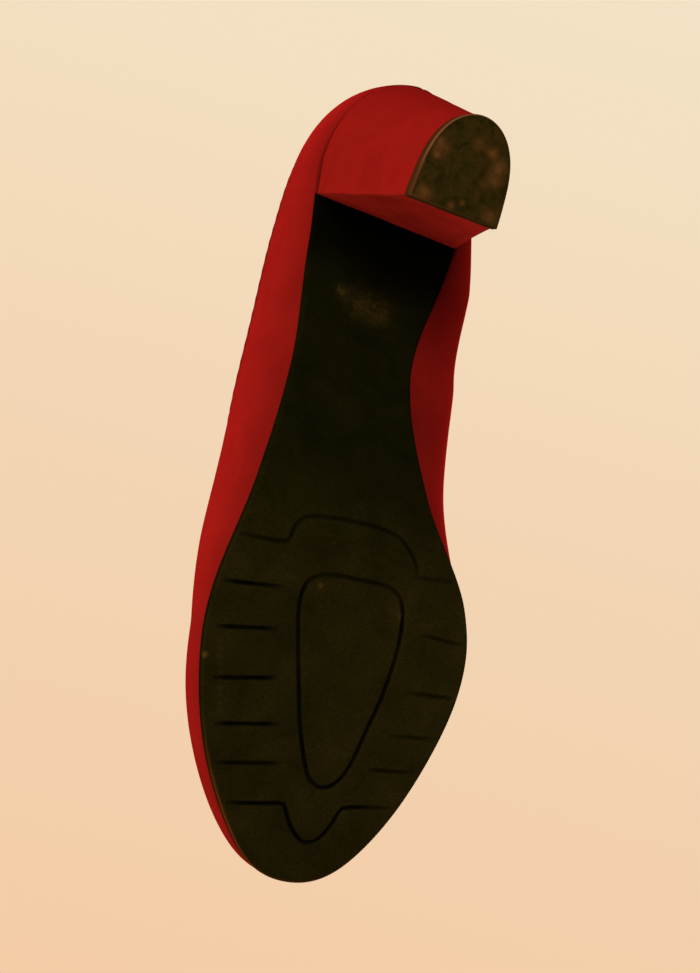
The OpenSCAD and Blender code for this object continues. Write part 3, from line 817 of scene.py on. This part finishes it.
def heel_pad():
    """Soft pad under the heel, round at the front: crowned, pulled in at its edge by a seam."""
    s = np.linspace(*PAD_ENDS, 70)[:, None]
    turn = np.linspace(0, math.pi, 72)
    c = 0.5 - 0.5 * np.cos(turn)
    # the rows bow back at both sides, most at the front, which rounds the outline
    s = s + 0.6 * (1 - np.sin(turn)) * ((PAD_ENDS[1] - s) / (PAD_ENDS[1] - PAD_ENDS[0])) ** 1.5
    lateral, medial = rim_point(s, -PAD_IN), rim_point(K - s, -PAD_IN)
    plan = medial + (lateral - medial) * c[None, :, None]
    edges = [plan[:, 0], plan[:, -1], plan[0], plan[-1]]
    dist, _ = nearest(np.concatenate([smooth_path(e, step=0.4) for e in edges]), plan)
    crown = PAD_T * ease(dist / 9)
    seam = 0.28 * np.exp(-((dist - 2.2) / 0.45) ** 2)
    roll = 0.5 * np.sqrt(np.clip(1 - (1 - np.clip(dist / 0.7, 0, 1)) ** 2, 0, 1))
    base = sole_top(plan[..., 1]) + BOARD_TOP + SOCK_T
    dents = 0.08 * wobble(at_height(plan, 0), 9, 4)
    low = at_height(plan, base + 0.03)
    high = at_height(plan, base + 0.05 + roll + crown - seam + dents)
    look = lining_leather("pad_leather", (0.50, 0.35, 0.205), (0.28, 0.17, 0.09), 0.5)
    pad = lofted("heel_pad_cushion", [low[:, ::-1], high], look, "heel_pad", 60)


# ---------------------------------------------------------------- heel
# half width at the breast, half width where it is widest, and length, each at the top lift and at the seat
BREAST_HW, WIDEST_HW, HEEL_LEN = (13.2, 22.6), (13.0, 23.9), (27.0, 41.5)
SIDE_FLARE, BACK_FLARE = 1.1, 1.0  # powers of the growth between the two
# middle of the breast at the top lift, its lean towards the toe, and the heel's turn in degrees
BREAST_MID, BREAST_LEAN, HEEL_TURN = (-0.85, 69.6), 1.1, 4.0
HEEL_H, FLAP_T = 58.0, 0.42


def flare(ends, t, power):
    """A size at height t, grown from the top lift to the seat."""
    return ends[0] + (ends[1] - ends[0]) * t**power


def heel_point(t, a, hand, inset, front=0.0):
    """Plan point of the heel's skin at height t, from the top lift (0) to the seat (1), and at a, from the
    breast (0) to the back (1); hand is 1 on the outer side and -1 on the arch side."""
    t, a = np.broadcast_arrays(np.asarray(t, float), np.asarray(a, float))
    w0, w1 = flare(BREAST_HW, t, SIDE_FLARE), flare(WIDEST_HW, t, SIDE_FLARE)
    length = flare(HEEL_LEN, t, BACK_FLARE) - inset
    k = w0 / w1 + (1 - w0 / w1) * ease(a / 0.3)
    half = (w1 * k - inset) * np.sqrt(np.clip(1 - a**3, 0, None))
    along = front + a * (length - front)
    g = np.radians(HEEL_TURN + t)
    x = BREAST_MID[0] - np.sin(g) * along + np.cos(g) * half * hand
    y = BREAST_MID[1] - BREAST_LEAN * t + np.cos(g) * along + np.sin(g) * half * hand
    return np.stack([x, y], -1)


def on_heel(plan, t):
    """Points in space from plan points of the heel and their height t."""
    return at_height(plan, LIFT_T + t * (sole_top(plan[..., 1]) - LIFT_T))


def heel_edge(t, count, inset, front):
    """Outline from the outer breast corner round the back to the arch-side corner."""
    a = np.sin(np.linspace(0, math.pi / 2, count))
    outer, arch = heel_point(t, a, 1, inset, front), heel_point(t, a[-2::-1], -1, inset, front)
    return np.concatenate([outer, arch], axis=1)


def heel_rows(count):
    """Heights from the top lift to the seat, closer together at both edges."""
    x = np.linspace(0, 1, count)[:, None]
    return 0.5 - 0.5 * np.cos(math.pi * x) * (0.85 + 0.15 * np.cos(math.pi * x) ** 2)


def heel_cover():
    """The heel's covering, wrapped from breast corner to breast corner, its edges turned in."""
    t = heel_rows(100)
    outer, inner = heel_edge(t, 90, 0, FLAP_T), heel_edge(t, 90, COVER_T, FLAP_T)
    height = np.broadcast_to(t, outer.shape[:2]) * HEEL_H
    to_seat = HEEL_H - height
    tuck = 0.55 * np.exp(-(to_seat / 0.7) ** 2) + 0.28 * np.exp(-(height / 0.5) ** 2)
    solid = on_heel(outer, t)
    swell = 0.08 * wobble(solid, 11, 8) + 0.04 * wobble(solid, 4, 9)
    # slack where the cover is pulled over the back of the seat, in shallow upright folds
    around = np.linspace(-1, 1, outer.shape[1])
    swell = swell + 0.10 * np.sin(around * 34) * np.exp(-(to_seat / 7) ** 2) * np.exp(-(around / 0.7) ** 4)
    skin = outer + unit(inner - outer) * (tuck - swell)[..., None]
    parts = [on_heel(skin, t), on_heel(inner[:, ::-1], t)]
    obj = lofted("heel_cover_suede", parts, suede("heel_suede"), "heel_cover", 55)
    # painted shade along both edges of the cover, in its seam with the upper and where it meets the top lift
    soil = 0.85 * np.exp(-(to_seat / 0.9) ** 2) + 0.45 * np.exp(-(height / 0.7) ** 2)
    point_attributes(obj, soil=np.concatenate([soil, soil[:, ::-1]], axis=1))


def breast_flap():
    """Leather down the front of the heel and over its corners: slightly hollow, with creases across."""
    t = heel_rows(110)
    g = np.radians(HEEL_TURN + t)
    back = np.stack([-np.sin(g), np.cos(g)], -1)

    def across(inset, count):
        """Rows of plan points over the breast, from the outer corner to the arch-side one."""
        a, b = heel_point(t, 0.0, 1, inset), heel_point(t, 0.0, -1, inset)
        return a + (b - a) * np.linspace(0, 1, count)[:, None]

    front = across(0.10, 90)
    solid = on_heel(front, t)
    c = np.linspace(0, 1, 90)
    from_side = np.minimum(c, 1 - c) * 45  # in millimetres, as the breast is about that wide at the seat
    x, z = solid[..., 0], solid[..., 2]
    fold = np.sin((z + 0.22 * x) / 1.25 + 2.6 * wobble(solid, 12, 11))
    strength = ease((wobble(solid, 15, 12) + 0.25) / 0.5) * ease(from_side / 5)
    rounded = 0.16 * np.exp(-(from_side / 0.25) ** 2)
    push = 0.10 + 0.06 * fold * strength + 0.05 * wobble(solid, 5, 13) + rounded
    # behind the face: the lips over the cover's edges, and the narrower rear that lies between them
    lip, rear = across(0.10, 2), across(COVER_T + 0.06, 2)
    behind = [lip + back * (FLAP_T - 0.03), rear + back * (FLAP_T - 0.03), rear + back * COVER_T]
    parts = [front + back * push[..., None]]
    parts += [p[:, 1:] for p in behind] + [p[:, :1] for p in behind[::-1]]
    parts = [on_heel(p, t) for p in parts]
    # a darker, browner copy of the heel's suede: painted shade and a painted brown cast of stray light on
    # this face
    look = suede("breast_suede_painted_shade", (0.262, 0.0145, 0.0074), (0.195, 0.0115, 0.0060), RED_RUB)
    obj = lofted("heel_breast_suede", parts, look, "heel_breast_flap", 55, flat_ends=True)
    # painted shade in the troughs of the creases and at both ends, where the flap meets the seat and the top
    # lift, over darker blotches
    height = t * HEEL_H
    ends = 0.6 * np.exp(-((HEEL_H - height) / 1.0) ** 2) + 0.4 * np.exp(-(height / 0.7) ** 2)
    blotch = 0.26 * ease(0.45 + 1.4 * wobble(solid, 9, 15)) * ease(from_side / 4)
    point_attributes(obj, soil=np.clip(0.16 * strength * ease(-fold) + blotch + ends, 0, 1))


def top_lift():
    """Top lift: worn at its rear outer edge, face pitted, rim rounded."""
    edge = heel_edge(np.zeros((1, 1)), 110, -0.05, -0.05)[0]
    front = np.linspace(edge[-1], edge[0], 60)[1:-1]
    outline = np.concatenate([edge, front])
    centre = outline.mean(0) + np.array([0, 1.5])
    inward = unit(centre - outline)
    reach = np.linalg.norm(centre - outline, axis=-1)[:, None]
    rim_r, top = 0.55, LIFT_T - 0.03
    # rings as (inset, height): the roof from its centre, the wall, the rounded rim, the face to its centre
    steps = [(reach, top), (reach * 0.1, top), (0.0, top), (0.0, 0.66 * top), (0.0, 0.33 * top)]
    arc = np.linspace(0, math.pi / 2, 6)
    steps += [(rim_r * (1 - math.cos(q)), rim_r * (1 - math.sin(q))) for q in arc]
    steps += [(rim_r + (reach - rim_r) * share, 0.0) for share in np.linspace(0.03, 1, 60)[1:]]
    rings = np.stack([at_height(outline + inward * inset, z) for inset, z in steps])
    flat = rings * np.array([1, 1, 0])
    dist, _ = nearest(outline, rings)
    face = (rings[..., 2] < 0.5) * ease((dist - 0.3) / 0.8)
    rings[..., 2] += face * (0.07 + 0.07 * wobble(flat, 2.6, 21) + 0.05 * wobble(flat, 1.1, 22))
    tube = loft(rings, flat_ends=True)
    obj = piece("top_lift_rubber_block", *tube, rubber_lift(), "top_lift", sharp=50, weld=0.002)
    # the centres of roof and face were welded, so the points are read back
    points = np.array([v.co for v in obj.data.vertices]) / MM - SHIFT
    away, _ = nearest(outline, points)
    # the wall is rubbed tan and its rim pale, most on the outer side and at the back, with a dark line inside
    x, y, z = points.T
    outer_side = ease((x + 14) / 20) * ease((y - 69.2) / 2)
    rim = np.exp(-((away - 0.10) / 0.20) ** 2) * ease((1.4 - z) / 1.0)
    rim = rim * (0.08 + 0.92 * outer_side * ease((y - 74) / 12))
    wall_rub = (away < 0.5) * ease((LIFT_T - 0.35 - z) / 0.5) * (0.12 + 0.70 * outer_side)
    shade = 0.55 * np.exp(-((away - 0.75) / 0.22) ** 2) * (z < 0.6)
    # brown patches worn through the dust of the face
    spots = [((7.2, 84.8), 2.5, 0.72), ((7.8, 82.9), 0.8, 0.9), ((7.7, 86.8), 0.9, 0.7),
             ((-2.8, 89.0), 1.7, 0.7), ((-7.2, 87.8), 1.5, 0.95), ((-10.0, 84.4), 2.0, 0.95),
             ((-9.9, 81.0), 1.9, 0.8), ((8.6, 72.2), 2.2, 0.85), ((0.4, 70.9), 1.0, 0.9),
             ((-2.7, 72.6), 0.9, 0.6), ((-11.0, 71.2), 2.0, 0.75), ((-6.5, 78.5), 1.5, 0.25)]
    worn = 0.8 * np.clip(blots(points[:, :2], spots), 0, 1) * (z < 0.6)
    point_attributes(obj, rim=rim, wall=wall_rub, shade=shade, worn=worn)


# ---------------------------------------------------------------- pieces inside, which keep their CAD meshes
def hidden_looks():
    """Materials of the pieces that the upper, linings and heel cover close in."""
    steel, steel_dark = (0.52, 0.53, 0.55), (0.33, 0.33, 0.34)
    looks = {
        "toe_puff": fibre("resin_cloth", (0.60, 0.56, 0.48), (0.46, 0.42, 0.35), (0.75, 0.72, 0.66),
                          scale=1500, rough=0.85, grain=0.08),
        "heel_counter": fibre("leather_board", (0.30, 0.21, 0.125), (0.20, 0.135, 0.08), (0.45, 0.36, 0.24)),
        "insole_board": fibre("cellulose_board", (0.50, 0.35, 0.20), (0.38, 0.26, 0.15), (0.62, 0.48, 0.32)),
        "bottom_filler": fibre("cork", (0.33, 0.18, 0.08), (0.20, 0.10, 0.045), (0.10, 0.05, 0.025),
                               scale=420, rough=0.92, grain=0.25),
        "shank": metal("spring_steel", steel, steel_dark, 0.32),
        "shank_rivets": metal("rivet_brass", (0.66, 0.48, 0.17), (0.42, 0.29, 0.10), 0.3),
        "heel_block": moulded("heel_plastic", (0.62, 0.59, 0.51), (0.52, 0.49, 0.41)),
        "heel_screw": metal("zinc_plate", (0.60, 0.61, 0.62), (0.44, 0.44, 0.43), 0.28),
        "heel_nails": metal("nail_steel", steel, steel_dark, 0.3),
        "top_lift_pins": metal("pin_steel", steel, (0.38, 0.38, 0.39), 0.22),
    }
    for node, look in looks.items():
        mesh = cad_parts[node].data
        mesh.materials.clear()
        mesh.materials.append(look)


upper()
binding()
sewing()
linings()
outsole()
sock()
heel_pad()
heel_cover()
breast_flap()
top_lift()
hidden_looks()


# ---------------------------------------------------------------- floor, light and camera
def floor():
    """Pale floor under the shoe. It is one-sided, so that the camera below sees through it."""
    mesh = bpy.data.meshes.new("floor")
    mesh.from_pydata([(-3, -3, 0), (3, -3, 0), (3, 3, 0), (-3, 3, 0)], [], [(0, 1, 2, 3)])
    obj = bpy.data.objects.new("floor", mesh)
    obj.location.z = cad_low.z - 0.0005
    bpy.context.scene.collection.objects.link(obj)
    k = Look("floor_paper")
    k.put(Roughness=0.9, Specular_IOR_Level=0.05)
    k.colour(k.ramp(k.noise(3, 4), (0.3, (0.80, 0.64, 0.47)), (0.7, (0.86, 0.70, 0.53))))
    nodes = k.tree.nodes
    back = nodes.new("ShaderNodeNewGeometry").outputs["Backfacing"]
    # the floor melts into the paper behind it some way off the shoe
    radius = nodes.new("ShaderNodeVectorMath")
    radius.operation = "LENGTH"
    k.link(k.place, radius.inputs[0])
    gone = k.range(radius.outputs["Value"], 0.30, 0.85)
    clear = nodes.new("ShaderNodeBsdfTransparent").outputs[0]
    both = k.mix_shaders(k.maths("MAXIMUM", back, gone), k.shader.outputs[0], clear)
    k.link(both, nodes["Material Output"].inputs["Surface"])
    mesh.materials.append(k.material)
    obj.visible_shadow = False
    obj.visible_diffuse = False
    obj.visible_glossy = False


def surroundings():
    """Pale warm paper all round for the camera, and a dimmer warm fill for the light."""
    world = bpy.data.worlds.new("studio")
    bpy.context.scene.world = world
    world.use_nodes = True
    nodes = world.node_tree.nodes
    nodes.clear()
    w = Wiring(world.node_tree, "Generated")
    split = nodes.new("ShaderNodeSeparateXYZ")
    w.link(w.place, split.inputs[0])
    # painted light: the paper is cooler towards the heel and pinker towards the toe, a painted pink glow of
    # light thrown off the red shoe
    along = w.range(split.outputs["Y"], -0.25, 0.25)
    paper = w.ramp(along, (0.0, (0.90, 0.60, 0.38)), (0.45, (0.89, 0.66, 0.45)), (1.0, (0.90, 0.77, 0.57)))
    seen = nodes.new("ShaderNodeBackground")
    w.link(paper, seen.inputs["Color"])
    # the fill is brighter on the outer side of the shoe than on the arch side
    fill = nodes.new("ShaderNodeBackground")
    fill.inputs["Color"].default_value = (1.0, 0.86, 0.70, 1)
    w.link(w.range(split.outputs["X"], -1, 1, 0.09, 0.55), fill.inputs["Strength"])
    for_camera = nodes.new("ShaderNodeLightPath").outputs["Is Camera Ray"]
    both = w.mix_shaders(for_camera, fill.outputs[0], seen.outputs[0])
    w.link(both, nodes.new("ShaderNodeOutputWorld").inputs[0])


def lamp(name, towards, distance, size, power, colour):
    """A soft square light that looks at the middle of the shoe from a direction."""
    data = bpy.data.lights.new(name, "AREA")
    data.size = size
    data.energy = power
    data.color = colour
    obj = bpy.data.objects.new(name, data)
    away = Vector(towards).normalized()
    obj.location = away * distance + (cad_low + cad_high) / 2
    obj.rotation_mode = "QUATERNION"
    obj.rotation_quaternion = away.to_track_quat("Z", "Y")
    bpy.context.scene.collection.objects.link(obj)


def camera():
    """The camera is below the shoe and looks up at the sole, with the toe towards the picture's bottom."""
    data = bpy.data.cameras.new("camera")
    data.sensor_width, data.lens = 36.0, 84.6
    data.clip_start, data.clip_end = 0.02, 20
    obj = bpy.data.objects.new("camera", data)
    eye = Vector((0.1962, -0.0039, -0.5774))
    aim = Vector((-0.0017, -0.0059, 0.030))
    up_hint = Vector((0.2468, 0.9671, 0.0613))
    forward = (aim - eye).normalized()
    right = forward.cross(up_hint).normalized()
    up = right.cross(forward)
    obj.matrix_world = Matrix.Translation(eye) @ Matrix((right, up, -forward)).transposed().to_4x4()
    bpy.context.scene.collection.objects.link(obj)
    bpy.context.scene.camera = obj


floor()
surroundings()
lamp("key_below", (0.25, 0.52, -0.85), 1.25, 0.5, 9.6, (1.0, 0.93, 0.82))
lamp("side_outer", (0.88, -0.42, -0.42), 0.7, 0.4, 2.5, (1.0, 0.93, 0.82))
lamp("key_above", (-0.45, -0.35, 0.85), 1.5, 0.9, 28, (1.0, 0.96, 0.90))
camera()
bpy.context.scene.view_settings.view_transform = "Standard"
